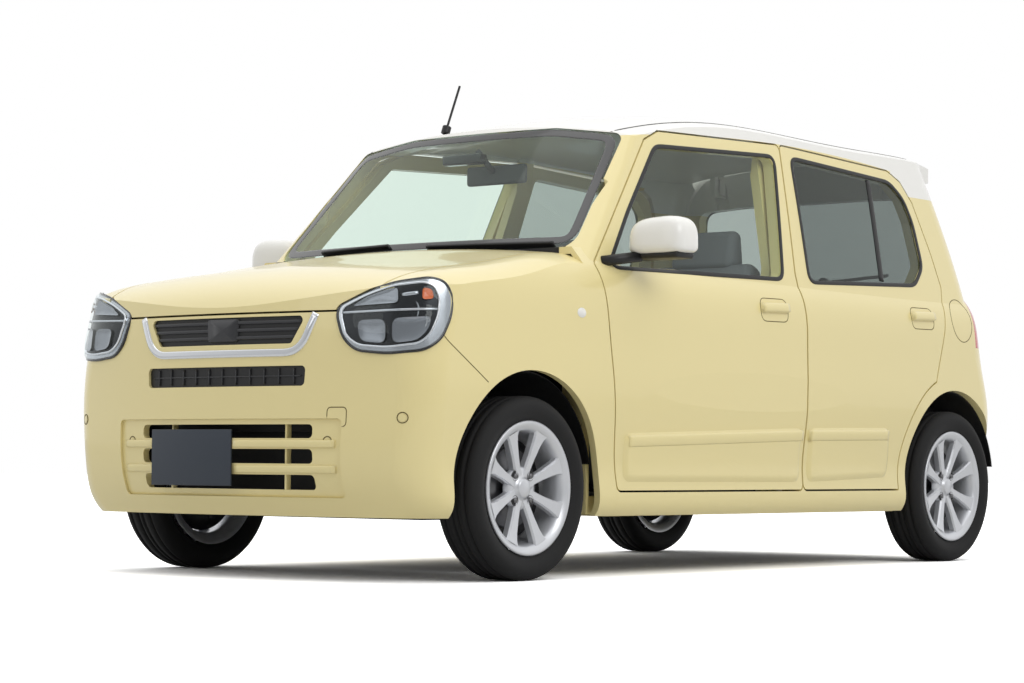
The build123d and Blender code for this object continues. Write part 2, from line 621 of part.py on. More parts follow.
frame_front = both_sides(half_frame) + build(CROSS_BLOCKS)
engine = block(890, 1330, -322, 322, CROSS_TOP + SEAT_FIT, 780)

KNUCKLE_BARS = [
    Bar(BALL_R, on_strut(160), on_strut(230)),
    Bar(17, on_strut(200), on_strut(420)),
    Bar(21, on_strut(330), on_strut(650)),
    Bar(50, on_strut(630), on_strut(775)),
    Bar(BALL_R, on_strut(770), on_strut(822)),
    Bar(HUB_R, on_strut(HUB_Z), (AXLE_F, HUB_OUT, HUB_Z)),
]
knuckle_left = build([], KNUCKLE_BARS)

AXLE_BEAM_X = AXLE_R + 150
SPRING_AT = (AXLE_R + 60, 440.0)
AXLE_BLOCKS = [
    Block(AXLE_BEAM_X - 30, AXLE_BEAM_X + 30, 0, 510, 235, 290),
    Block(AXLE_R - 40, AXLE_R + 330, 465, 508, 235, 295),
    Block(AXLE_R + 20, AXLE_R + 160, 400, 480, 262, 290),
]
AXLE_BARS = [
    Bar(HUB_R, (AXLE_R, 480, HUB_Z), (AXLE_R, HUB_OUT, HUB_Z)),
    Bar(48, (*SPRING_AT, 280), (*SPRING_AT, REAR_UNDER - SEAT_FIT)),
]
rear_axle = both_sides(build(AXLE_BLOCKS, AXLE_BARS))

tank = block(-1060, -650, -200, 430, 190, REAR_UNDER - SEAT_FIT)
PIPE_Y = -262.0
PIPE_Z = 196.0
MUFFLER_X = -1480.0
MUFFLER_Z = 250.0
HANGER = 10.0
EXHAUST_BARS = [
    Bar(21, (880, PIPE_Y, PIPE_Z), (MUFFLER_X, PIPE_Y, PIPE_Z)),
    Bar(70, (MUFFLER_X, -440, MUFFLER_Z), (MUFFLER_X, -90, MUFFLER_Z)),
    Bar(19, (MUFFLER_X, -400, MUFFLER_Z), (-1640, -400, MUFFLER_Z)),
]
Hanger = namedtuple("Hanger", "x z0 z1")
HANGERS = [
    Hanger(500.0, PIPE_Z + 9, FLOOR_TOP - FLOOR_T - SEAT_FIT),
    Hanger(-400.0, PIPE_Z + 9, FLOOR_TOP - FLOOR_T - SEAT_FIT),
    Hanger(MUFFLER_X, MUFFLER_Z + 50, REAR_UNDER - SEAT_FIT),
]
hanger_blocks = [Block(row.x - HANGER, row.x + HANGER, PIPE_Y - HANGER, PIPE_Y + HANGER, row.z0, row.z1)
                 for row in HANGERS]
exhaust = build(hanger_blocks, EXHAUST_BARS)

LINER_T = 4.0


def liner(x, y0, y1, wall):
    """A half-round shell over one left wheel, with an inner wall where asked."""
    outer = round_bar(ARCH_R - SEAT_FIT, (x, y0, ARCH_Z), (x, y1, ARCH_Z))
    inner = round_bar(ARCH_R - SEAT_FIT - LINER_T, (x, y0 + wall, ARCH_Z), (x, y1 + 1, ARCH_Z))
    return take(outer, inner, block(x - FAR, x + FAR, 0, FAR, -FAR, ARCH_Z + 60))


front_liner = take(liner(AXLE_F, ARCH_INNER_Y + 4, HALF - 50, 0), round_bar(66, on_strut(500), on_strut(700)))
rear_liner = liner(AXLE_R, ARCH_INNER_Y_REAR + SEAT_FIT, HALF - 40, LINER_T)

# Cabin
WHEEL_AT = (432.0, -335.0, 872.0)
COLUMN_RAKE = 26.0
rake = radians(COLUMN_RAKE)
toward_driver = Vector(-cos(rake), 0, sin(rake))
COLUMN_PIN_R = 11.0


def on_column(along):
    """A point of the steering column, along it toward the driver."""
    return tuple(Vector(*WHEEL_AT) + toward_driver * along)


DASH_BLOCK = Block(566, FIREWALL_X - SEAT_FIT, -586, 586, 690, 930)
COLUMN_BARS = [
    Bar(30, on_column(-220), on_column(-42)),
    Bar(COLUMN_PIN_R, on_column(-60), on_column(10)),
]
dash = build([DASH_BLOCK], COLUMN_BARS)
GRIP_R = 176.0
GRIP = 14.0
BOSS_R = 48.0
BOSS_T = 40.0
ARM_AT = 105.0
ARM_SIZE = (150.0, 34.0)
ARM_HALF_T = 7.0
with BuildPart() as grip:
    with BuildSketch(Plane.XZ):
        with Locations((GRIP_R, 0)):
            RegularPolygon(GRIP, 8)
    revolve(axis=Axis.Z)
wheel_plane = Plane(origin=WHEEL_AT, x_dir=(0, 1, 0), z_dir=toward_driver)
with BuildPart(wheel_plane) as steering_wheel:
    add(grip.part)
    Cylinder(BOSS_R, BOSS_T)
    with BuildSketch(wheel_plane):
        for turn in (0, 180, 270):
            with PolarLocations(ARM_AT, 1, start_angle=turn):
                Rectangle(*ARM_SIZE)
    extrude(amount=ARM_HALF_T, both=True)
    Cylinder(COLUMN_PIN_R + PIN_FIT, 2 * BOSS_R, mode=Mode.SUBTRACT)

SEAT_FOOT = FLOOR_TOP + SEAT_FIT
BENCH_FOOT = REAR_FLOOR + SEAT_FIT
SEAT = [(360, SEAT_FOOT), (372, 430), (340, 470), (-40, 448), (-258, 1000), (-300, 1140), (-356, 1140),
        (-372, 1000), (-170, 430), (-120, SEAT_FOOT)]
BENCH = [(-640, BENCH_FOOT), (-606, 520), (-630, 552), (-1000, 536), (-1130, 1000), (-1222, 1000),
         (-1150, BENCH_FOOT)]
SEAT_Y = 330.0
SEAT_W = 424.0
BENCH_W = 980.0


def seat(points, width):
    """A seat outline carried across its width."""
    with BuildSketch(Plane.XZ) as face:
        with BuildLine():
            FilletPolyline(*points, radius=14, close=True)
        make_face()
    with BuildPart() as made:
        add(face.sketch)
        extrude(amount=width / 2, dir=(0, 1, 0), both=True)
    return made.part


front_seat = seat(SEAT, SEAT_W).translate((0, SEAT_Y, 0))
bench = seat(BENCH, BENCH_W)

# Mirrors and antenna
MIRROR_AT = (588.0, 806.0, 1044.0)
MIRROR_SIZE = (128.0, 206.0, 124.0)
MIRROR_ROUND = 36.0
MIRROR_ARM_R = 22.0
with BuildPart(Location(MIRROR_AT, (0, 0, 12))) as mirror_left:
    Box(*MIRROR_SIZE)
    fillet(mirror_left.edges(), MIRROR_ROUND)
mirror_arm = round_bar(MIRROR_ARM_R, (732, 672, 972), (640, 790, 1004))
mirror_piece = take(mirror_left.part + mirror_arm, upper_skin, lower_rear)
ANTENNA_FOOT = (455.0, -195.0, 1440.0)
ANTENNA_TIP = (382.0, -195.0, 1606.0)
ANTENNA_BARS = [
    Bar(4, ANTENNA_FOOT, ANTENNA_TIP),
    Bar(15, ANTENNA_FOOT, (446, -195, 1462)),
]
antenna = take(build([], ANTENNA_BARS), upper_skin)

# Wheels, drawn at the left rear hub and copied
FLANGE_R = 194.0
RIM_FACE = 46.0
HUB_FACE_R = 66.0
DISC_R = 120.0
SPOKE_IN = 40.0
SPOKE_OUT = BEAD_R - 14
SPOKE_W = 40.0
SPOKE_T = 26.0
SPOKE_TAPER = 85.5


def ring(points):
    """A section of (radius, offset) turned about the wheel's axle."""
    with BuildPart() as made:
        with BuildSketch(Plane.XY):
            with BuildLine():
                Polyline(*points, close=True)
            make_face()
        revolve(axis=Axis.Y)
    return made.part


edge = RIM_W / 2
rim = ring([(BEAD_R, -edge), (FLANGE_R, -edge), (FLANGE_R, -edge - 5), (BEAD_R - 16, -edge - 5),
            (BEAD_R - 16, edge + 3), (FLANGE_R, edge + 3), (FLANGE_R, edge), (BEAD_R, edge)])
with BuildPart() as face:
    with BuildSketch(Plane.XZ.offset(-RIM_FACE)):
        Circle(HUB_FACE_R)
        with PolarLocations((SPOKE_IN + SPOKE_OUT) / 2, SPOKES, start_angle=180 / SPOKES):
            Trapezoid(SPOKE_W, SPOKE_OUT - SPOKE_IN, SPOKE_TAPER, rotation=90)
    extrude(amount=SPOKE_T, dir=(0, -1, 0))
rim = rim + face.part
rim = rim + round_bar(40, (0, RIM_FACE - 20, 0), (0, -30, 0)) + round_bar(DISC_R, (0, -14, 0), (0, -2, 0))
rim = take(rim, round_bar(HUB_R + HUB_FIT, (0, -100, 0), (0, RIM_FACE - 8, 0)))
for turn in range(NUTS):
    angle = radians(45 + 360 / NUTS * turn)
    spot = (NUT_PCD / 2 * cos(angle), NUT_PCD / 2 * sin(angle))
    rim = take(rim, round_bar(NUT_HOLE_R, (spot[0], RIM_FACE - 6, spot[1]), (spot[0], RIM_FACE + 5, spot[1])))
half_w = TYRE_W / 2
bead = edge - SEAT_FIT
tyre = ring([(BEAD_R + SEAT_FIT, -bead), (FLANGE_R + 3, -bead), (TYRE_R - 40, -half_w),
             (TYRE_R, -half_w + TYRE_SHOULDER), (TYRE_R, half_w - TYRE_SHOULDER), (TYRE_R - 40, half_w),
             (FLANGE_R + 3, bead), (BEAD_R + SEAT_FIT, bead)])

ship([floor], "floor_pan")
ship([side], "body_side_left")
ship([flip(side)], "body_side_right")
ship([roof], "roof_panel")
ship([scuttle], "scuttle")
ship([fender, flip(fender)], "front_fenders")
ship([front_bumper], "front_bumper")
ship([rear_bumper], "rear_bumper")
ship([windscreen], "windscreen")
ship([lamp, flip(lamp)], "headlamps")
ship([tail_lamp, flip(tail_lamp)], "tail_lamps")
ship(inserts, "grilles")
ship([intake_panel], "intake_panel")
ship([dash], "dashboard")
ship([front_seat, flip(front_seat)], "front_seats")
ship([bench], "rear_seat")
ship([engine], "engine_block")
ship([frame_front], "front_frame")
ship([rear_axle], "rear_axle")
ship([exhaust], "exhaust")
ship([tank], "fuel_tank")
ship([front_liner, flip(front_liner), rear_liner, flip(rear_liner)], "wheel_arch_liners")
ship([antenna], "antenna")
ship([front_door], "front_door_left")
ship([flip(front_door)], "front_door_right")
ship([rear_door], "rear_door_left")
ship([flip(rear_door)], "rear_door_right")
ship([front_glass], "front_window_left")
ship([flip(front_glass)], "front_window_right")
ship([rear_glass], "rear_window_left")
ship([flip(rear_glass)], "rear_window_right")
ship([mirror_piece], "mirror_left")
ship([flip(mirror_piece)], "mirror_right")
ship([bonnet], "bonnet")
ship([gate], "tailgate")
ship([tail_glass], "tailgate_window")
ship([knuckle_left], "knuckle_left")
ship([flip(knuckle_left)], "knuckle_right")
ship([steering_wheel.part], "steering_wheel")
for place, x in (("front", AXLE_F), ("rear", AXLE_R)):
    for kind, piece in (("rim", rim), ("tyre", tyre)):
        placed = piece.translate((x, TRACK / 2, TYRE_R))
        ship([placed], kind + "_" + place + "_left")
        ship([flip(placed)], kind + "_" + place + "_right")
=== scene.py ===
import math

import bmesh
import bpy
import numpy as np
from mathutils import Matrix, Vector
from mathutils.bvhtree import BVHTree


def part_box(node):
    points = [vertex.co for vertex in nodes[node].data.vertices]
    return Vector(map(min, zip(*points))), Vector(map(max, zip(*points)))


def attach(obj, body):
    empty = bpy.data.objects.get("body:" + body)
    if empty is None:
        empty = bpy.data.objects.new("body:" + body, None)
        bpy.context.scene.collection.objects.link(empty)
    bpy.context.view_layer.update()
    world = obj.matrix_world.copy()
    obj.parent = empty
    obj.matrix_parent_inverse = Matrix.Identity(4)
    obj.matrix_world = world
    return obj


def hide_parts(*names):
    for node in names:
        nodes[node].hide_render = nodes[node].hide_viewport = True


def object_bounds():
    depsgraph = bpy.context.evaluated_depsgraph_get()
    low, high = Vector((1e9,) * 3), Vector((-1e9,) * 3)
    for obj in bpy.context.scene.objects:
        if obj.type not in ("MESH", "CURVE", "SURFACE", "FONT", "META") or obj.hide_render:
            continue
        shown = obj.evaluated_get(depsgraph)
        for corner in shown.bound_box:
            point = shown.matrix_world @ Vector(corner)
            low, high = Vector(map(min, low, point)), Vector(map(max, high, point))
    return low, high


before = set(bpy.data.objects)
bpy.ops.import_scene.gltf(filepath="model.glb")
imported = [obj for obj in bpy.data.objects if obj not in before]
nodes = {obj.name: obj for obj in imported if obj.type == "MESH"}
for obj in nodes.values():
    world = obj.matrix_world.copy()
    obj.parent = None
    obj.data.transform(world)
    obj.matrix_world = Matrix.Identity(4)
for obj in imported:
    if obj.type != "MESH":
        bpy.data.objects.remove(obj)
cad_low, cad_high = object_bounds()
scene = bpy.context.scene


def srgb(red, green, blue):
    """Linear colour of an sRGB triple given as 0 to 255."""
    out = []
    for value in (red, green, blue):
        c = value / 255
        out.append(c / 12.92 if c <= 0.04045 else ((c + 0.055) / 1.055) ** 2.4)
    return (*out, 1.0)


def finish(name, colour, rough, metal=0.0, coat=0.0, **more):
    """A plain shaded finish; more names other shader sockets."""
    mat = bpy.data.materials.new(name)
    mat.use_nodes = True
    shader = mat.node_tree.nodes["Principled BSDF"]
    shader.inputs["Base Color"].default_value = colour
    shader.inputs["Roughness"].default_value = rough
    shader.inputs["Metallic"].default_value = metal
    shader.inputs["Coat Weight"].default_value = coat
    shader.inputs["Coat Roughness"].default_value = 0.03
    for socket, value in more.items():
        shader.inputs[socket.replace("_", " ")].default_value = value
    return mat


def glass(name, tint, ior):
    """Thin pane: part see-through with a tint, part mirror by angle."""
    mat = bpy.data.materials.new(name)
    mat.use_nodes = True
    tree = mat.node_tree
    tree.nodes.clear()
    out = tree.nodes.new("ShaderNodeOutputMaterial")
    through = tree.nodes.new("ShaderNodeBsdfTransparent")
    through.inputs["Color"].default_value = tint
    shine = tree.nodes.new("ShaderNodeBsdfGlossy")
    shine.inputs["Roughness"].default_value = 0.02
    shine.inputs["Color"].default_value = (0.9, 0.95, 0.93, 1)
    weight = tree.nodes.new("ShaderNodeFresnel")
    weight.inputs["IOR"].default_value = ior
    place = tree.nodes.new("ShaderNodeNewGeometry")
    outer = tree.nodes.new("ShaderNodeMath")
    outer.operation = "SUBTRACT"
    outer.inputs[0].default_value = 1.0
    tree.links.new(place.outputs["Backfacing"], outer.inputs[1])
    only_outer = tree.nodes.new("ShaderNodeMath")
    only_outer.operation = "MULTIPLY"
    tree.links.new(weight.outputs["Fac"], only_outer.inputs[0])
    tree.links.new(outer.outputs["Value"], only_outer.inputs[1])
    mix = tree.nodes.new("ShaderNodeMixShader")
    tree.links.new(only_outer.outputs["Value"], mix.inputs["Fac"])
    tree.links.new(through.outputs["BSDF"], mix.inputs[1])
    tree.links.new(shine.outputs["BSDF"], mix.inputs[2])
    tree.links.new(mix.outputs["Shader"], out.inputs["Surface"])
    return mat


CREAM = srgb(234, 219, 158)
WHITE = srgb(238, 237, 232)
cream = finish("paint_cream", CREAM, 0.32, coat=0.6)
white = finish("paint_white", WHITE, 0.32, coat=0.6)
black = finish("black_plastic", srgb(22, 22, 23), 0.45)
gloss_black = finish("gloss_black", srgb(10, 10, 11), 0.12, coat=0.5)
rubber = finish("tyre_rubber", srgb(17, 17, 18), 0.8)
alloy = finish("alloy", srgb(214, 216, 220), 0.34, metal=0.6)
chrome = finish("chrome", srgb(225, 228, 232), 0.08, metal=1.0)
steel = finish("steel", srgb(120, 120, 122), 0.4, metal=0.9)
iron = finish("iron", srgb(70, 70, 72), 0.6, metal=0.6)
dark = finish("underbody", srgb(26, 26, 28), 0.7)
trim = finish("interior", srgb(84, 85, 88), 0.65)
fabric = finish("seat_cloth", srgb(116, 119, 126), 0.95)
red = finish("lamp_red", srgb(190, 18, 22), 0.12, coat=0.6)
clear_glass = glass("glass_clear", (0.94, 0.975, 0.955, 1), 1.42)
screen_glass = glass("glass_screen", (0.89, 0.945, 0.91, 1), 1.42)
dark_glass = glass("glass_privacy", (0.60, 0.63, 0.62, 1), 1.40)
lens = glass("lamp_lens", (0.93, 0.95, 0.96, 1), 1.40)


# White begins at the roof line, which falls either side of its crest, and at the tail corner (metres)
ROOF_LINE, ROOF_CREST, ROOF_BEND = 1.434, 0.45, 0.062
TAIL_CORNER_X, TAIL_CORNER_Z = -1.13, 1.318


def two_tone(name):
    """Cream paint that turns white above the roof line, by place on the body."""
    mat = finish(name, CREAM, 0.32, coat=0.6)
    tree = mat.node_tree
    place = tree.nodes.new("ShaderNodeTexCoord")
    split = tree.nodes.new("ShaderNodeSeparateXYZ")
    tree.links.new(place.outputs["Object"], split.inputs["Vector"])

    def math_node(kind, a, b):
        node = tree.nodes.new("ShaderNodeMath")
        node.operation = kind
        for k, value in enumerate((a, b)):
            if isinstance(value, float):
                node.inputs[k].default_value = value
            else:
                tree.links.new(value, node.inputs[k])
        return node.outputs["Value"]

    away = math_node("ADD", split.outputs["X"], ROOF_CREST)
    bend = math_node("MULTIPLY", math_node("MULTIPLY", away, away), ROOF_BEND)
    level = math_node("ADD", split.outputs["Z"], bend)
    above = math_node("GREATER_THAN", level, ROOF_LINE)
    past = math_node("LESS_THAN", split.outputs["X"], TAIL_CORNER_X)
    high_up = math_node("GREATER_THAN", split.outputs["Z"], TAIL_CORNER_Z)
    mask = math_node("MAXIMUM", above, math_node("MULTIPLY", past, high_up))
    mix = tree.nodes.new("ShaderNodeMix")
    mix.data_type = "RGBA"
    mix.inputs["A"].default_value = CREAM
    mix.inputs["B"].default_value = WHITE
    tree.links.new(mask, mix.inputs["Factor"])
    tree.links.new(mix.outputs["Result"], tree.nodes["Principled BSDF"].inputs["Base Color"])
    return mat


side_paint = two_tone("paint_two_tone")
PAINT = {
    "body_side": side_paint, "tailgate": side_paint, "roof_panel": white, "mirror": white,
    "front_fenders": cream, "front_bumper": cream, "rear_bumper": cream, "intake_panel": cream,
    "front_door": cream, "rear_door": cream, "bonnet": cream, "headlamps": cream,
    "scuttle": black, "grilles": black, "fuel_tank": black, "wheel_arch_liners": black, "antenna": black,
    "windscreen": screen_glass, "front_window": clear_glass, "rear_window": dark_glass,
    "tailgate_window": dark_glass, "tail_lamps": red, "dashboard": trim, "steering_wheel": trim,
    "front_seats": fabric, "rear_seat": fabric, "engine_block": iron, "knuckle": iron, "exhaust": steel,
    "front_frame": dark, "rear_axle": dark, "floor_pan": dark, "rim": alloy, "tyre": rubber,
}
for name, obj in nodes.items():
    key = max((k for k in PAINT if name.startswith(k)), key=len)
    obj.data.materials.clear()
    obj.data.materials.append(PAINT[key])

# Shape helpers: outlines are drawn flat, in millimetres, and cast onto the solids
MM = 0.001
LEFT, RIGHT = 1, -1


def surface(*names):
    """A search tree over the named solids."""
    points, faces = [], []
    for name in names:
        start = len(points)
        mesh = nodes[name].data
        points.extend(v.co.copy() for v in mesh.vertices)
        faces.extend([start + k for k in p.vertices] for p in mesh.polygons)
    return BVHTree.FromPolygons(points, faces)


def caster(tree, view, side=LEFT):
    """A function from flat millimetres to a point on the solids and the way out of them."""
    far = 4.0

    def cast(a, b):
        a, b = a * MM, b * MM
        if view == "side":
            start, way = Vector((a, side * far, b)), Vector((0, -side, 0))
        elif view == "front":
            start, way = Vector((far, side * a, b)), Vector((-1, 0, 0))
        elif view == "corner":
            slope = math.sqrt(0.5)
            mark = Vector((cad_high.x - a * slope, side * a * slope, b))
            way = Vector((-slope, -side * slope, 0))
            start = mark - way * far
        elif view == "tail":
            start, way = Vector((-far, side * a, b)), Vector((1, 0, 0))
        else:
            start, way = Vector((a, side * b, far)), Vector((0, 0, -1))
        spot, out, _, _ = tree.ray_cast(start, way)
        if spot is None:
            spot, out, _, _ = tree.find_nearest(start + way * far)
        return spot, out if out.dot(way) < 0 else -out

    return cast


def rounded(points, radius, closed=True, bend=6):
    """A flat outline with its corners turned into arcs."""
    out = []
    count = len(points)
    for k, point in enumerate(points):
        here = Vector(point)
        if not closed and k in (0, count - 1):
            out.append(here)
            continue
        back = Vector(points[k - 1]) - here
        ahead_ = Vector(points[(k + 1) % count]) - here
        cut = min(radius, back.length * 0.45, ahead_.length * 0.45)
        start, end = here + back.normalized() * cut, here + ahead_.normalized() * cut
        for step in range(bend + 1):
            t = step / bend
            out.append(start * (1 - t) ** 2 + here * 2 * t * (1 - t) + end * t ** 2)
    return out


def dense(points, pitch, closed=True):
    """The outline walked in even steps."""
    out = []
    last = len(points) if closed else len(points) - 1
    for k in range(last):
        start, end = points[k], points[(k + 1) % len(points)]
        steps = max(1, math.ceil((end - start).length / pitch))
        out.extend(start.lerp(end, s / steps) for s in range(steps))
    if not closed:
        out.append(points[-1])
    return out


def thing(name, points, faces, mat, body, smooth=True):
    """A new piece on a body of the frame."""
    mesh = bpy.data.meshes.new(name)
    mesh.from_pydata([tuple(p) for p in points], [], faces)
    mesh.update()
    bm = bmesh.new()
    bm.from_mesh(mesh)
    bmesh.ops.remove_doubles(bm, verts=bm.verts, dist=1e-6)
    bmesh.ops.recalc_face_normals(bm, faces=bm.faces)
    bm.to_mesh(mesh)
    bm.free()
    for poly in mesh.polygons:
        poly.use_smooth = smooth
    mesh.materials.append(mat)
    obj = bpy.data.objects.new(name, mesh)
    scene.collection.objects.link(obj)
    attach(obj, body)
    return obj


def steady(spots, passes):
    """The cast points with stray ones pulled back and the rest eased toward their neighbours."""
    count = len(spots)
    pitch = sorted((spots[k][0] - spots[k - 1][0]).length for k in range(count))[count // 2]
    for turn in range(passes):
        eased = []
        for k, (spot, out) in enumerate(spots):
            (a, a_out), (b, b_out) = spots[k - 1], spots[(k + 1) % count]
            middle = (a + b) / 2
            stray = (spot - middle).length > pitch or out.dot(a_out + b_out) < 1.2
            way = (out * (not stray) + a_out + b_out).normalized()
            eased.append((middle if stray else (spot + middle) / 2, way))
        spots = eased
    return spots


def grown(outline, amount):
    """A closed outline pushed outward by an amount."""
    count = len(outline)
    area = sum(outline[k - 1][0] * outline[k][1] - outline[k][0] * outline[k - 1][1] for k in range(count))
    sense = 1 if area > 0 else -1
    out = []
    for k, point in enumerate(outline):
        run = (Vector(outline[(k + 1) % count]) - Vector(outline[k - 1])).normalized()
        out.append(Vector(point) + Vector((run.y, -run.x)) * (amount * sense))
    return out


# A strip's section: share of its width, share of its height
FLAT = ((-0.5, -0.6), (-0.44, 0.8), (-0.3, 1.0), (0.3, 1.0), (0.44, 0.8), (0.5, -0.6))


def strip(name, path, cast, width, height, mat, body, closed=True, pitch=14.0, ease=0):
    """A raised strip that follows an outline on the solids."""
    walked = dense([Vector(p) for p in path], pitch, closed)
    spots = steady([cast(p[0], p[1]) for p in walked], ease)
    count = len(spots)
    points, faces = [], []
    for k, (spot, out) in enumerate(spots):
        before = spots[k - 1][0] if closed or k else spot
        after = spots[(k + 1) % count][0] if closed or k < count - 1 else spot
        along = (after - before).normalized()
        side = out.cross(along).normalized()
        for w, h in FLAT:
            points.append(spot + side * (w * width * MM) + out * (h * height * MM))
    ring = len(FLAT)
    for k in range(count if closed else count - 1):
        for m in range(ring - 1):
            a, b = k * ring + m, ((k + 1) % count) * ring + m
            faces.append((a, b, b + 1, a + 1))
    if not closed:
        faces.append(tuple(range(ring)))
        faces.append(tuple((count - 1) * ring + m for m in range(ring)))
    return thing(name, points, faces, mat, body)


def dish(name, outline, cast, rings, mat, body, pitch=14.0):
    """A patch over an outline; rings give a share of the outline, or above 1 an inset in mm, and a lift."""
    walked = dense([Vector(p) for p in outline], pitch)
    middle = sum(walked, Vector((0, 0))) / len(walked)
    points, faces = [], []
    count = len(walked)
    for share, lift in rings:
        inset = grown(walked, 1.0 - share) if share > 1 else walked
        for p in inset:
            q = p if share > 1 else middle.lerp(p, share)
            spot, out = cast(q[0], q[1])
            points.append(spot + out * (lift * MM))
    for r in range(len(rings) - 1):
        for k in range(count):
            a, b = r * count + k, r * count + (k + 1) % count
            faces.append((a, b, b + count, a + count))
    if rings[0][0]:
        faces.append(tuple(range(count)))
    return thing(name, points, faces, mat, body)


def tube(name, spots, radius, mat, body, sides=10):
    """A round bar through points given in metres."""
    points, faces = [], []
    for k, spot in enumerate(spots):
        along = (spots[min(k + 1, len(spots) - 1)] - spots[max(k - 1, 0)]).normalized()
        if k == 0:
            across_ = along.orthogonal().normalized()
        else:
            across_ = (across_ - along * across_.dot(along)).normalized()
        other = along.cross(across_)
        for m in range(sides):
            turn = 2 * math.pi * m / sides
            points.append(spot + (across_ * math.cos(turn) + other * math.sin(turn)) * radius)
    for k in range(len(spots) - 1):
        for m in range(sides):
            a, b = k * sides + m, k * sides + (m + 1) % sides
            faces.append((a, b, b + sides, a + sides))
    faces.append(tuple(range(sides)))
    faces.append(tuple((len(spots) - 1) * sides + m for m in range(sides)))
    return thing(name, points, faces, mat, body)


def slab(name, low, high, mat, body, round_mm=4.0):
    """A box with softened edges between two corners in millimetres."""
    bm = bmesh.new()
    bmesh.ops.create_cube(bm, size=1.0)
    size = [(h - l) * MM for l, h in zip(low, high)]
    centre = Vector([(h + l) / 2 * MM for l, h in zip(low, high)])
    for v in bm.verts:
        v.co = Vector([c * s for c, s in zip(v.co, size)]) + centre
    bmesh.ops.bevel(bm, geom=bm.edges[:], offset=round_mm * MM, segments=3, affect="EDGES", profile=0.5)
    bm.verts.index_update()
    points = [v.co.copy() for v in bm.verts]
    faces = [[v.index for v in f.verts] for f in bm.faces]
    bm.free()
    return thing(name, points, faces, mat, body)


def lathe(name, centre, profile, mat, body, steps=96, out=1):
    """A turned piece about a wheel's axle; the profile is radius and outward offset in mm."""
    points, faces = [], []
    for k in range(steps):
        turn = 2 * math.pi * k / steps
        for r, y in profile:
            points.append(centre + Vector((r * math.cos(turn), out * y, r * math.sin(turn))) * MM)
    rows = len(profile)
    for k in range(steps):
        for m in range(rows - 1):
            a, b = k * rows + m, ((k + 1) % steps) * rows + m
            faces.append((a, b, b + 1, a + 1))
    return thing(name, points, faces, mat, body)


def pad(name, outline, y0, y1, round_mm, mat, body):
    """A stuffed piece: a side outline carried across and well rounded."""
    bm = bmesh.new()
    near = [bm.verts.new(Vector((x, y0, z)) * MM) for x, z in outline]
    far_ = [bm.verts.new(Vector((x, y1, z)) * MM) for x, z in outline]
    bm.faces.new(near)
    bm.faces.new(far_)
    for k in range(len(outline)):
        bm.faces.new((near[k - 1], near[k], far_[k], far_[k - 1]))
    bmesh.ops.recalc_face_normals(bm, faces=bm.faces)
    bmesh.ops.bevel(bm, geom=bm.edges[:], offset=round_mm * MM, segments=5, affect="EDGES", profile=0.5,
                    clamp_overlap=True)
    bm.verts.index_update()
    points = [v.co.copy() for v in bm.verts]
    faces = [[v.index for v in f.verts] for f in bm.faces]
    bm.free()
    obj = thing(name, points, faces, mat, body)
    return obj


SIDES = (("left", LEFT), ("right", RIGHT))

# Window seals, the rear quarter bar and the windscreen's black band
FRONT_WINDOW = [(700, 950), (552, 1122), (330, 1352), (-348, 1380), (-240, 966)]
REAR_WINDOW = [(-415, 966), (-466, 1385), (-1100, 1355), (-1172, 1302), (-1200, 1220),
               (-1200, 1062), (-1120, 994)]
QUARTER_BAR = [(-956, 1355), (-895, 990)]
SCREEN_BAND = [(594, 1026), (527, 1372), (297, 1404), (-297, 1404), (-527, 1372), (-594, 1026)]
for word, side in SIDES:
    for row, outline in (("front", FRONT_WINDOW), ("rear", REAR_WINDOW)):
        body = f"{row}_door_{word}"
        on = caster(surface(body), "side", side)
        strip(f"seal_{row}_{word}", grown(rounded(outline, 28), 7), on, 15, 2.5, black, body, ease=2)
    on = caster(surface(f"rear_window_{word}"), "side", side)
    strip(f"quarter_bar_{word}", QUARTER_BAR, on, 24, 4, black, f"rear_door_{word}", closed=False)
on_screen = caster(surface("windscreen"), "front")
strip("screen_band", rounded(SCREEN_BAND, 40), on_screen, 32, 0.6, gloss_black, "body", ease=2)

# Headlamps: outline seen square to the front corner (distance outward, height)
LAMP = [(331, 757), (337, 784), (373, 804), (419, 826), (487, 850), (587, 864), (629, 853), (649, 813),
        (645, 756), (616, 690), (569, 658), (468, 649), (381, 659), (345, 697)]
LAMP_BAR = [(350, 764), (602, 773)]
lamp_dark = finish("lamp_housing", srgb(34, 36, 40), 0.2, metal=0.6)
reflector = finish("lamp_reflector", srgb(196, 200, 205), 0.2, metal=0.9)
# A darker copy of the reflector finish: painted shade on the upper reflector and the bowls
shaded_reflector = finish("lamp_reflector_shaded", srgb(150, 154, 160), 0.26, metal=0.9)
amber = finish("lamp_amber", srgb(222, 104, 34), 0.2, coat=0.5)
LAMP_CHAMBER = [(346, 757), (352, 780), (380, 795), (422, 815), (488, 838), (568, 848), (596, 838),
                (608, 805), (604, 756), (582, 702), (554, 676), (468, 666), (390, 674), (358, 702)]
LAMP_UPPER = [(378, 781), (500, 789), (500, 832), (470, 826), (419, 808)]
LAMP_TURN = [(562, 798), (592, 801), (588, 828), (564, 832)]
LAMP_STREAK = [(510, 812), (552, 818)]
LAMP_BOWLS = ([(398, 684), (466, 676), (466, 744), (390, 742)],
              [(484, 676), (548, 684), (574, 710), (588, 752), (484, 746)])
BASE_RINGS = ((0.0, 5), (0.4, 5), (0.8, 5), (0.97, 5))
CHAMBER_RINGS = ((0.0, 7), (0.4, 7), (0.8, 7), (1.0, 7))
BOWL_RINGS = ((0.0, 8), (0.45, 8.5), (0.8, 10), (1.0, 13))


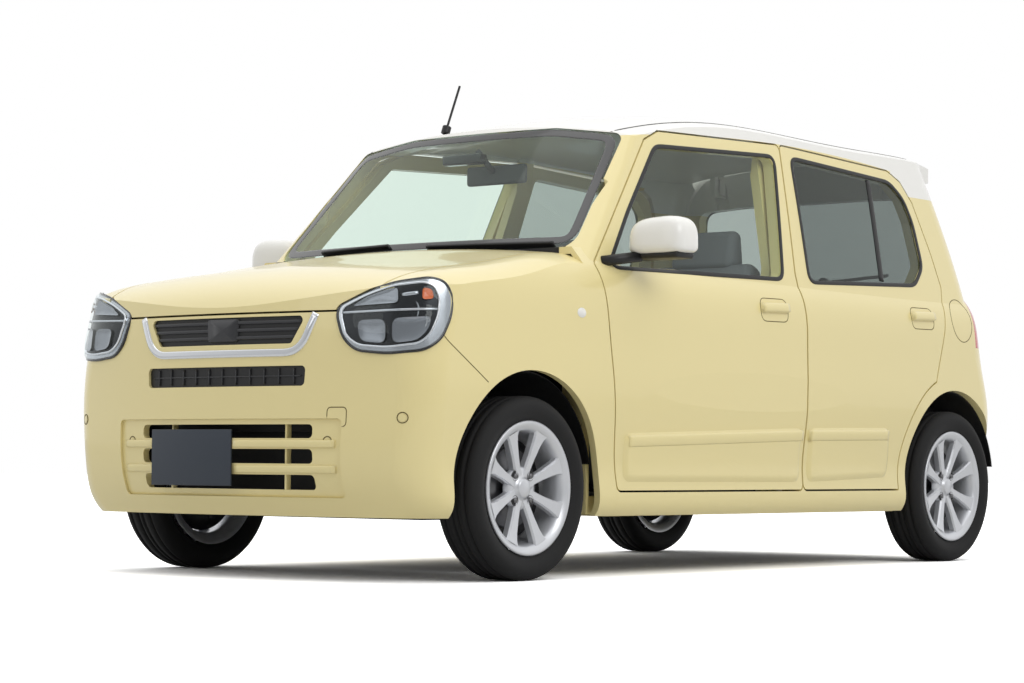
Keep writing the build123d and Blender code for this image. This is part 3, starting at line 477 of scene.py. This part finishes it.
def fair(cast, low, high, pitch=16, degree=3):
    """A smooth stand-in for a cast: one cubic surface through what it meets, without the gaps."""
    spans = [np.arange(l, h, pitch) for l, h in zip(low, high)]
    flat = np.array([(a, b) for a in spans[0] for b in spans[1]], float)
    met = np.array([cast(a, b)[0] for a, b in flat])
    mid, size = flat.mean(0), flat.std(0)

    def terms(p):
        s, t = ((np.atleast_2d(p) - mid) / size).T
        return np.stack([s ** i * t ** j for i in range(degree + 1) for j in range(degree + 1 - i)], 1)

    kept = np.ones(len(flat), bool)
    for turn in range(6):
        weights = np.linalg.lstsq(terms(flat[kept]), met[kept], rcond=None)[0]
        miss = np.linalg.norm(terms(flat) @ weights - met, axis=1)
        kept = miss < max(0.002, 1.6 * np.median(miss[kept]))

    def smooth_cast(a, b):
        spot, right_, up_ = (Vector((terms(p) @ weights)[0]) for p in ((a, b), (a + 2, b), (a, b + 2)))
        out = (right_ - spot).cross(up_ - spot).normalized()
        return spot, out if out.x > 0 else -out

    return smooth_cast


def oval(a, b, half_a, half_b, count=20):
    """A flat oval about a point."""
    turns = [2 * math.pi * k / count for k in range(count)]
    return [Vector((a + half_a * math.cos(t), b + half_b * math.sin(t))) for t in turns]


for word, side in SIDES:
    skin = caster(surface("headlamps", "front_bumper", "front_fenders", "bonnet"), "corner", side)
    on = fair(skin, (335, 652), (645, 860))
    ring = rounded(LAMP, 30)
    chamber = rounded(LAMP_CHAMBER, 24)
    strip(f"lamp_gap_{word}", ring, on, 9, 6, gloss_black, "body", pitch=10)
    dish(f"lamp_base_{word}", ring, on, BASE_RINGS, reflector, "body")
    dish(f"lamp_chamber_{word}", chamber, on, CHAMBER_RINGS, lamp_dark, "body")
    strip(f"lamp_bezel_{word}", chamber, on, 7, 13, chrome, "body", pitch=10)
    strip(f"lamp_bar_{word}", LAMP_BAR, on, 8, 13, reflector, "body", closed=False)
    dish(f"lamp_upper_{word}", rounded(LAMP_UPPER, 12), on, BOWL_RINGS, shaded_reflector, "body")
    strip(f"lamp_streak_{word}", LAMP_STREAK, on, 12, 12, reflector, "body", closed=False)
    dish(f"lamp_turn_{word}", rounded(LAMP_TURN, 10), on, BOWL_RINGS, amber, "body")
    for k, outline in enumerate(LAMP_BOWLS):
        dish(f"lamp_bowl_{word}_{k}", rounded(outline, 22), on, BOWL_RINGS, shaded_reflector, "body")
    dish(f"lamp_cover_{word}", ring, on, ((0.0, 17), (0.6, 16), (0.9, 13), (1.0, 6)), lens, "body")

# Grille slats with a centre cover, the chrome U, slot ribs
on_nose = caster(surface("front_bumper", "grilles", "intake_panel", "headlamps"), "front")
on_grille = caster(surface("grilles"), "front")
CHROME_U = [(352, 768), (300, 656), (-300, 656), (-352, 768)]
strip("grille_chrome", rounded(CHROME_U, 60, closed=False), on_nose, 24, 4.5, chrome, "body", closed=False)
slat = finish("grille_slat", srgb(48, 49, 52), 0.3)
for k, z in enumerate((702, 724, 746)):
    reach_y = 272 + (z - 690) * 0.5
    strip(f"grille_slat_{k}", [(-reach_y, z), (reach_y, z)], on_grille, 11, 7, slat, "body", closed=False)
cover = [(-58, 690), (58, 690), (64, 758), (-64, 758)]
dish("grille_cover", rounded(cover, 8), on_grille, ((0.0, 9), (0.94, 9), (1.0, 1)), slat, "body")
for k in range(11):
    y = -275 + 55 * k
    strip(f"slot_rib_{k}", [(y, 566), (y, 612)], on_grille, 4, 5, slat, "body", closed=False)
strip("slot_line", [(-300, 589), (300, 589)], on_grille, 4, 4, slat, "body", closed=False)

# Lower intake: bars, ribs and the blank plate
on_intake = caster(surface("intake_panel"), "front")
for k, z in enumerate((321, 394)):
    for m, (y0, y1) in enumerate(((-425, -292), (56, 425))):
        strip(f"intake_bar_{k}_{m}", [(y0, z), (y1, z)], on_intake, 24, 7, cream, "body", closed=False)
for k, y in enumerate((-232, 232)):
    slab(f"intake_rib_{k}", (1640, y - 4, 262), (1660, y + 4, 452), cream, "body", 2.0)
PLATE_MID_Y, PLATE_MID_Z, PLATE_W, PLATE_H = -118, 353, 330, 165
plate_paint = finish("plate_blank", srgb(47, 55, 66), 0.4)
plate_front = cad_high.x / MM - 0.5
slab("front_plate", (plate_front - 7, PLATE_MID_Y - PLATE_W / 2, PLATE_MID_Z - PLATE_H / 2),
     (plate_front, PLATE_MID_Y + PLATE_W / 2, PLATE_MID_Z + PLATE_H / 2), plate_paint, "body", 2.0)

# Thin seams, sensors and small covers on the skin
# Seam colour: dark joints along the real panel gaps, and painted shade at the edge of the door handles' cups
seam_and_shade = finish("seam_and_shade", srgb(96, 84, 44), 0.8)
SEAM_AND_SHADE_W, SEAM_AND_SHADE_H = 3.0, 0.5
SENSOR_RINGS = ((0.0, 2.0), (1.0, 1.2))
INDICATOR_RINGS = ((0.0, 6), (0.6, 5), (1.0, 0.5))
BUMPER_SEAM = [(1346, 574), (1530, 694), (1558, 768)]
ROOF_SEAM = [(470, 508), (-1380, 508)]
on_bumper = caster(surface("front_bumper"), "front")
for word, side in SIDES:
    on_front = caster(surface("front_bumper", "intake_panel"), "front", side)
    for k, (y, z) in enumerate(((648, 468), (399, 400))):
        dish(f"sensor_{word}_{k}", oval(y, z, 11, 11), on_front, SENSOR_RINGS, cream, "body", pitch=4)
        strip(f"sensor_ring_{word}_{k}", oval(y, z, 15, 15), on_front, SEAM_AND_SHADE_W, 1.0, seam_and_shade, "body", pitch=5)
    on_corner = caster(surface("front_bumper", "front_fenders"), "side", side)
    seam_path = rounded(BUMPER_SEAM, 40, closed=False)
    strip(f"bumper_seam_{word}", seam_path, on_corner, SEAM_AND_SHADE_W, SEAM_AND_SHADE_H, seam_and_shade, "body", closed=False)
    on_fender = caster(surface("front_fenders"), "side", side)
    dish(f"indicator_{word}", oval(905, 794, 21, 15), on_fender, INDICATOR_RINGS, white, "body", pitch=5)
    on_roof = caster(surface("roof_panel", f"body_side_{word}"), "top", side)
    strip(f"roof_seam_{word}", ROOF_SEAM, on_roof, 9, 1.2, black, "body", closed=False, pitch=40)
TOW = [(402, 443), (468, 443), (468, 498), (402, 498)]
strip("tow_seam", rounded(TOW, 14), on_bumper, SEAM_AND_SHADE_W, SEAM_AND_SHADE_H, seam_and_shade, "body", pitch=6)
on_quarter = caster(surface("body_side_left"), "side", LEFT)
strip("fuel_lid_seam", oval(-1400, 872, 74, 78, 40), on_quarter, SEAM_AND_SHADE_W, SEAM_AND_SHADE_H, seam_and_shade, "body")

# Door handles and the pressed panel along the doors' foot
HANDLES = {"front": (-62, -215, 850), "rear": (-1036, -1186, 866)}
PRESSING_RINGS = ((0.0, 9), (0.15, 9), (0.3, 9), (0.45, 9), (0.6, 9), (26, 9), (15, 8.2), (6, 1.0),
                  (1.01, -1))
PRESSINGS = {"front": [(-300, 468), (688, 439), (690, 286), (-294, 284)],
             "rear": [(-342, 469), (-858, 477), (-872, 380), (-860, 300), (-336, 284)]}
BANDS = {"front": [(672, 412), (-296, 441)], "rear": [(-342, 442), (-846, 449)]}
for word, side in SIDES:
    for row, (x0, x1, z) in HANDLES.items():
        body = f"{row}_door_{word}"
        on = caster(surface(body), "side", side)
        cup = [(x0 + 4, z - 38), (x1 - 4, z - 36), (x1 - 4, z + 40), (x0 + 4, z + 38)]
        # The cup is not cut into the door: its dark outline is painted shade at the recess's edge
        strip(f"handle_cup_shade_{row}_{word}", rounded(cup, 30), on, SEAM_AND_SHADE_W, SEAM_AND_SHADE_H, seam_and_shade, body, pitch=8)
        strip(f"handle_{row}_{word}", [(x0, z + 6), (x1, z + 10)], on, 34, 15, cream, body, closed=False)
        pressing = rounded(PRESSINGS[row], 36)
        dish(f"pressing_{row}_{word}", pressing, on, PRESSING_RINGS, cream, body)
        strip(f"pressing_band_{row}_{word}", BANDS[row], on, 40, 11.4, cream, body, closed=False)

# Tail: window seal, wiper and handle bar
TAIL_WINDOW = [(540, 1012), (476, 1330), (300, 1342), (-300, 1342), (-476, 1330), (-540, 1012)]
on_gate = caster(surface("tailgate"), "tail")
strip("tail_seal", grown(rounded(TAIL_WINDOW, 50), 6), on_gate, 14, 2.5, black, "tailgate", ease=2)
on_tail_glass = caster(surface("tailgate_window"), "tail")
strip("tail_wiper", [(0, 1046), (290, 1062)], on_tail_glass, 12, 14, black, "tailgate", closed=False)
WIPER_CAP_RINGS = ((0.0, 20), (0.7, 17), (1.0, 2))
dish("tail_wiper_cap", oval(0, 1046, 26, 20), on_tail_glass, WIPER_CAP_RINGS, black, "tailgate", pitch=6)
strip("tail_handle", [(-150, 790), (150, 790)], on_gate, 40, 12, cream, "tailgate", closed=False)
strip("tail_handle_shade", [(-120, 766), (120, 766)], on_gate, 10, 3, black, "tailgate", closed=False)

# Wipers, inner mirror and the sensor box behind the screen
for k, path in enumerate(([(-383, 1016), (-80, 1024)], [(88, 1014), (549, 1009)])):
    strip(f"wiper_blade_{k}", path, on_screen, 12, 16, black, "body", closed=False)
slab("inner_mirror", (418, -116, 1258), (440, 131, 1322), trim, "body", 9.0)
tube("inner_mirror_stalk", [Vector((0.44, 0.0, 1.30)), Vector((0.52, 0.0, 1.36))], 0.01, trim, "body")
slab("screen_sensor", (508, -129, 1318), (552, 33, 1352), gloss_black, "body", 8.0)

# Seats
SEAT_MID, SEAT_HALF, BENCH_HALF = 330, 212, 490
CUSHION = [(360, 262), (371, 430), (340, 469), (-70, 449), (-150, 330), (-120, 262)]
BACK = [(-46, 452), (-256, 990), (-300, 1030), (-368, 1000), (-172, 432)]
HEADREST = [(-266, 1010), (-300, 1138), (-354, 1138), (-370, 1010)]
BENCH_CUSHION = [(-636, 404), (-607, 520), (-630, 551), (-1004, 537), (-1010, 404)]
BENCH_BACK = [(-1004, 548), (-1130, 998), (-1220, 998), (-1152, 404), (-1020, 404)]
for word, side in SIDES:
    y0, y1 = sorted((side * (SEAT_MID - SEAT_HALF), side * (SEAT_MID + SEAT_HALF)))
    pad(f"seat_cushion_{word}", CUSHION, y0, y1, 38, fabric, "body")
    pad(f"seat_back_{word}", BACK, y0 + 6, y1 - 6, 38, fabric, "body")
    middle_y = (y0 + y1) / 2
    pad(f"seat_head_{word}", HEADREST, middle_y - 125, middle_y + 125, 24, fabric, "body")
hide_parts("front_seats")
bench = pad("bench_cushion", BENCH_CUSHION, -BENCH_HALF, BENCH_HALF, 34, fabric, "body")
pad("bench_back", BENCH_BACK, -BENCH_HALF, BENCH_HALF, 30, fabric, "body")
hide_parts("rear_seat")

# Door mirrors: a domed cap on a black foot that runs to the door's sail corner
CAP_MID_X, CAP_HALF_X = 596, 64
CAP_MID_Y, CAP_HALF_Y = 804, 102
CAP_MID_Z, CAP_RISE, CAP_DROP = 1012, 88, 28
CAP_ROWS, CAP_TURNS = 22, 28
FOOT_X, FOOT_Y, FOOT_Z = (548, 642), (704, 886), (970, 992)
ARM_START, ARM_END, ARM_R = (0.738, 0.668, 0.960), (0.628, 0.740, 0.979), 0.017


def domed(share, power):
    """Height of a blunt arch over a span from -1 to 1."""
    return max(0.0, 1 - abs(share) ** power) ** (1 / power)


def bulge(value, power):
    """A circle's sine or cosine drawn toward a square."""
    return math.copysign(abs(value) ** power, value)


for word, side in SIDES:
    points, faces = [], []
    for row in range(CAP_ROWS + 1):
        share = -math.cos(math.pi * row / CAP_ROWS)
        wide, tall = domed(share, 4.5), domed(share, 3.6) * (1 + 0.06 * share)
        for k in range(CAP_TURNS):
            turn = 2 * math.pi * k / CAP_TURNS
            rise, drop = CAP_RISE * tall, CAP_DROP * wide
            lift = bulge(math.sin(turn), 0.62) * (rise if math.sin(turn) > 0 else drop)
            points.append(Vector((CAP_MID_X + CAP_HALF_X * bulge(math.cos(turn), 0.55) * wide,
                                  side * (CAP_MID_Y + CAP_HALF_Y * share), CAP_MID_Z + lift)) * MM)
    for row in range(CAP_ROWS):
        for k in range(CAP_TURNS):
            a, b = row * CAP_TURNS + k, row * CAP_TURNS + (k + 1) % CAP_TURNS
            faces.append((a, b, b + CAP_TURNS, a + CAP_TURNS))
    body = f"front_door_{word}"
    cap = thing(f"mirror_cap_{word}", points, faces, white, body)
    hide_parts(f"mirror_{word}")
    low_y, high_y = sorted((side * FOOT_Y[0], side * FOOT_Y[1]))
    foot_low, foot_high = (FOOT_X[0], low_y, FOOT_Z[0]), (FOOT_X[1], high_y, FOOT_Z[1])
    slab(f"mirror_foot_{word}", foot_low, foot_high, black, body, 9.0)
    arm = [Vector((x, side * y, z)) for x, y, z in (ARM_START, ARM_END)]
    tube(f"mirror_arm_{word}", arm, ARM_R, black, body)

# Tyres with grooves and wheels with eight spokes
TYRE_HALF = [(196, 60), (206, 66), (222, 74), (238, 77.2), (252, 74.5), (262, 67), (267.5, 58), (269.5, 50),
             (269.5, 46), (263, 45), (263, 38), (269.8, 37), (269.8, 14), (263, 13), (263, 6), (269.8, 5)]
TYRE = TYRE_HALF + [(r, -y) for r, y in reversed(TYRE_HALF)]
BARREL = [(196, 61), (198, 66), (193, 69), (186, 66), (174, 60), (168, 52), (164, 20), (158, -44), (166, -62),
          (194, -68)]
HUB = [(0, 51), (24, 51), (28, 48), (29, 42), (50, 40), (62, 36), (66, 20)]
DISC = [(30, -4), (118, -4), (118, -14), (30, -14)]
SHIELD = [(70, -17), (150, -17), (150, -20), (70, -20), (70, -17)]
# Each spoke section: radius, half width, outward offset
STATIONS = ((34, 17, 41), (58, 14, 43), (96, 15, 48), (136, 19, 53), (158, 23, 57), (172, 30, 60))
SPOKES, SPOKE_T, SPOKE_EDGE = 8, 24, 6
NUTS, NUT_PCD = 4, 100
NUT_WELL = [(0, 41), (13, 41), (14, 43), (16, 40)]
NUT = [(0, 47), (7, 47), (9, 44), (9, 40)]
for row in ("front", "rear"):
    for word, side in SIDES:
        wheel = f"wheel_{row}_{word}"
        low_, high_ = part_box(f"tyre_{row}_{word}")
        centre = (low_ + high_) / 2
        tyre = lathe(f"tyre_skin_{row}_{word}", centre, TYRE, rubber, wheel, out=side)
        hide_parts(f"tyre_{row}_{word}")
        rim = lathe(f"rim_skin_{row}_{word}", centre, BARREL, alloy, wheel, out=side)
        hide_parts(f"rim_{row}_{word}")
        lathe(f"hub_{row}_{word}", centre, HUB, alloy, wheel, steps=48, out=side)
        lathe(f"disc_{row}_{word}", centre, DISC, steel, wheel, steps=48, out=side)
        carrier = f"knuckle_{word}" if row == "front" else "body"
        lathe(f"brake_shield_{row}_{word}", centre, SHIELD, black, carrier, steps=48, out=side)
        points, faces = [], []
        for k in range(SPOKES):
            turn = 2 * math.pi * (k + 0.5) / SPOKES
            way = Vector((math.cos(turn), 0, math.sin(turn)))
            across_ = Vector((-math.sin(turn), 0, math.cos(turn)))
            start = len(points)
            for r, half, y in STATIONS:
                section = ((-half, y - SPOKE_T), (-half, y - SPOKE_EDGE), (4 - half, y), (half - 4, y),
                           (half, y - SPOKE_EDGE), (half, y - SPOKE_T))
                for a, b in section:
                    points.append(centre + (way * r + across_ * a + Vector((0, side * b, 0))) * MM)
            for s in range(len(STATIONS) - 1):
                for m in range(6):
                    a, b = start + s * 6 + m, start + s * 6 + (m + 1) % 6
                    faces.append((a, b, b + 6, a + 6))
        thing(f"spokes_{row}_{word}", points, faces, alloy, wheel, smooth=False)
        for k in range(NUTS):
            turn = 2 * math.pi * (k + 0.5) / NUTS
            spot = centre + Vector((math.cos(turn), 0, math.sin(turn))) * (NUT_PCD / 2 * MM)
            lathe(f"nut_well_{row}_{word}_{k}", spot, NUT_WELL, iron, wheel, steps=20, out=side)
            lathe(f"nut_{row}_{word}_{k}", spot, NUT, steel, wheel, steps=6, out=side)

# Camera at the photo's view
eye = Vector((7.426, 5.700, 0.348))
yaw, pitch, roll = math.radians(-141.21), math.radians(2.50), math.radians(0.42)
ahead = Vector((math.cos(pitch) * math.cos(yaw), math.cos(pitch) * math.sin(yaw), math.sin(pitch)))
across = ahead.cross(Vector((0, 0, 1))).normalized()
upward = across.cross(ahead)
right = across * math.cos(roll) + upward * math.sin(roll)
top = upward * math.cos(roll) - across * math.sin(roll)
camera = bpy.data.objects.new("camera", bpy.data.cameras.new("camera"))
scene.collection.objects.link(camera)
camera.matrix_world = Matrix(((right.x, top.x, -ahead.x, eye.x), (right.y, top.y, -ahead.y, eye.y),
                              (right.z, top.z, -ahead.z, eye.z), (0, 0, 0, 1)))
camera.data.sensor_width = 36.0
camera.data.lens = 2746.1 / 1024 * 36.0
camera.data.clip_end = 100.0
scene.camera = camera

# Pale floor and soft light
FLOOR_BOUNCE, FLOOR_SEEN, AMBIENT = 0.64, 1.8, 0.98
floor_mesh = bpy.data.meshes.new("floor")
reach = 40.0
corners = [(-reach, -reach, 0), (reach, -reach, 0), (reach, reach, 0), (-reach, reach, 0)]
floor_mesh.from_pydata(corners, [], [(0, 1, 2, 3)])
floor = bpy.data.objects.new("floor", floor_mesh)
scene.collection.objects.link(floor)
floor_paint = bpy.data.materials.new("floor_pale")
floor_paint.use_nodes = True
tree = floor_paint.node_tree
tree.nodes.clear()
matt = tree.nodes.new("ShaderNodeBsdfDiffuse")
seen = tree.nodes.new("ShaderNodeLightPath")
shade = tree.nodes.new("ShaderNodeMix")
shade.data_type = "RGBA"
shade.inputs["A"].default_value = (FLOOR_BOUNCE, FLOOR_BOUNCE, FLOOR_BOUNCE, 1)
shade.inputs["B"].default_value = (FLOOR_SEEN, FLOOR_SEEN, FLOOR_SEEN, 1)
tree.links.new(seen.outputs["Is Camera Ray"], shade.inputs["Factor"])
tree.links.new(shade.outputs["Result"], matt.inputs["Color"])
tree.links.new(matt.outputs["BSDF"], tree.nodes.new("ShaderNodeOutputMaterial").inputs["Surface"])
floor_mesh.materials.append(floor_paint)
world = bpy.data.worlds.new("studio")
scene.world = world
world.use_nodes = True
sky = world.node_tree
toward = sky.nodes.new("ShaderNodeTexCoord")
facing = sky.nodes.new("ShaderNodeVectorMath")
facing.operation = "DOT_PRODUCT"
facing.inputs[1].default_value = (ahead.x, ahead.y, 0)
sky.links.new(toward.outputs["Generated"], facing.inputs[0])
split = sky.nodes.new("ShaderNodeSeparateXYZ")
sky.links.new(toward.outputs["Generated"], split.inputs["Vector"])


def ramp(source, low_in, high_in, low_out, high_out):
    """A value carried from one range to another, held at the ends."""
    node = sky.nodes.new("ShaderNodeMapRange")
    node.inputs["From Min"].default_value = low_in
    node.inputs["From Max"].default_value = high_in
    node.inputs["To Min"].default_value = low_out
    node.inputs["To Max"].default_value = high_out
    sky.links.new(source, node.inputs["Value"])
    return node.outputs["Result"]


def sky_math(kind, a, b):
    """One step of sums on the sky's values."""
    node = sky.nodes.new("ShaderNodeMath")
    node.operation = kind
    sky.links.new(a, node.inputs[0])
    sky.links.new(b, node.inputs[1])
    return node.outputs["Value"]


ray = sky.nodes.new("ShaderNodeLightPath").outputs
level_round = ramp(facing.outputs["Value"], -0.6, 0.6, 0.42, 1.0)
overhead = ramp(split.outputs["Z"], 0.25, 0.9, 0.0, 0.3)
around = sky_math("ADD", level_round, overhead)
mirrored = sky_math("MAXIMUM", ray["Is Glossy Ray"], ray["Is Transmission Ray"])
level = sky_math("MULTIPLY", around, ramp(mirrored, 0.0, 1.0, AMBIENT, 1.0))
backdrop = sky.nodes.new("ShaderNodeMix")
backdrop.inputs["B"].default_value = 1.0
sky.links.new(ray["Is Camera Ray"], backdrop.inputs["Factor"])
sky.links.new(level, backdrop.inputs["A"])
sky.links.new(backdrop.outputs["Result"], sky.nodes["Background"].inputs["Strength"])
sky.nodes["Background"].inputs["Color"].default_value = (1, 1, 1, 1)


def softbox(name, place, target, size, power):
    """A square area light aimed at a point."""
    light = bpy.data.lights.new(name, "AREA")
    light.shape = "RECTANGLE"
    light.size, light.size_y = size
    light.energy = power
    obj = bpy.data.objects.new(name, light)
    scene.collection.objects.link(obj)
    obj.location = place
    obj.rotation_euler = (Vector(target) - Vector(place)).to_track_quat("-Z", "Y").to_euler()


softbox("key", (2.0, 6.0, 4.5), (0, 0, 0.7), (5, 3), 130)
softbox("top", (0.5, 0.5, 6.0), (0, 0, 0), (7, 4), 55)
softbox("nose", (7.0, -1.5, 3.0), (1, 0, 0.7), (3, 3), 20)
scene.view_settings.view_transform = "Standard"
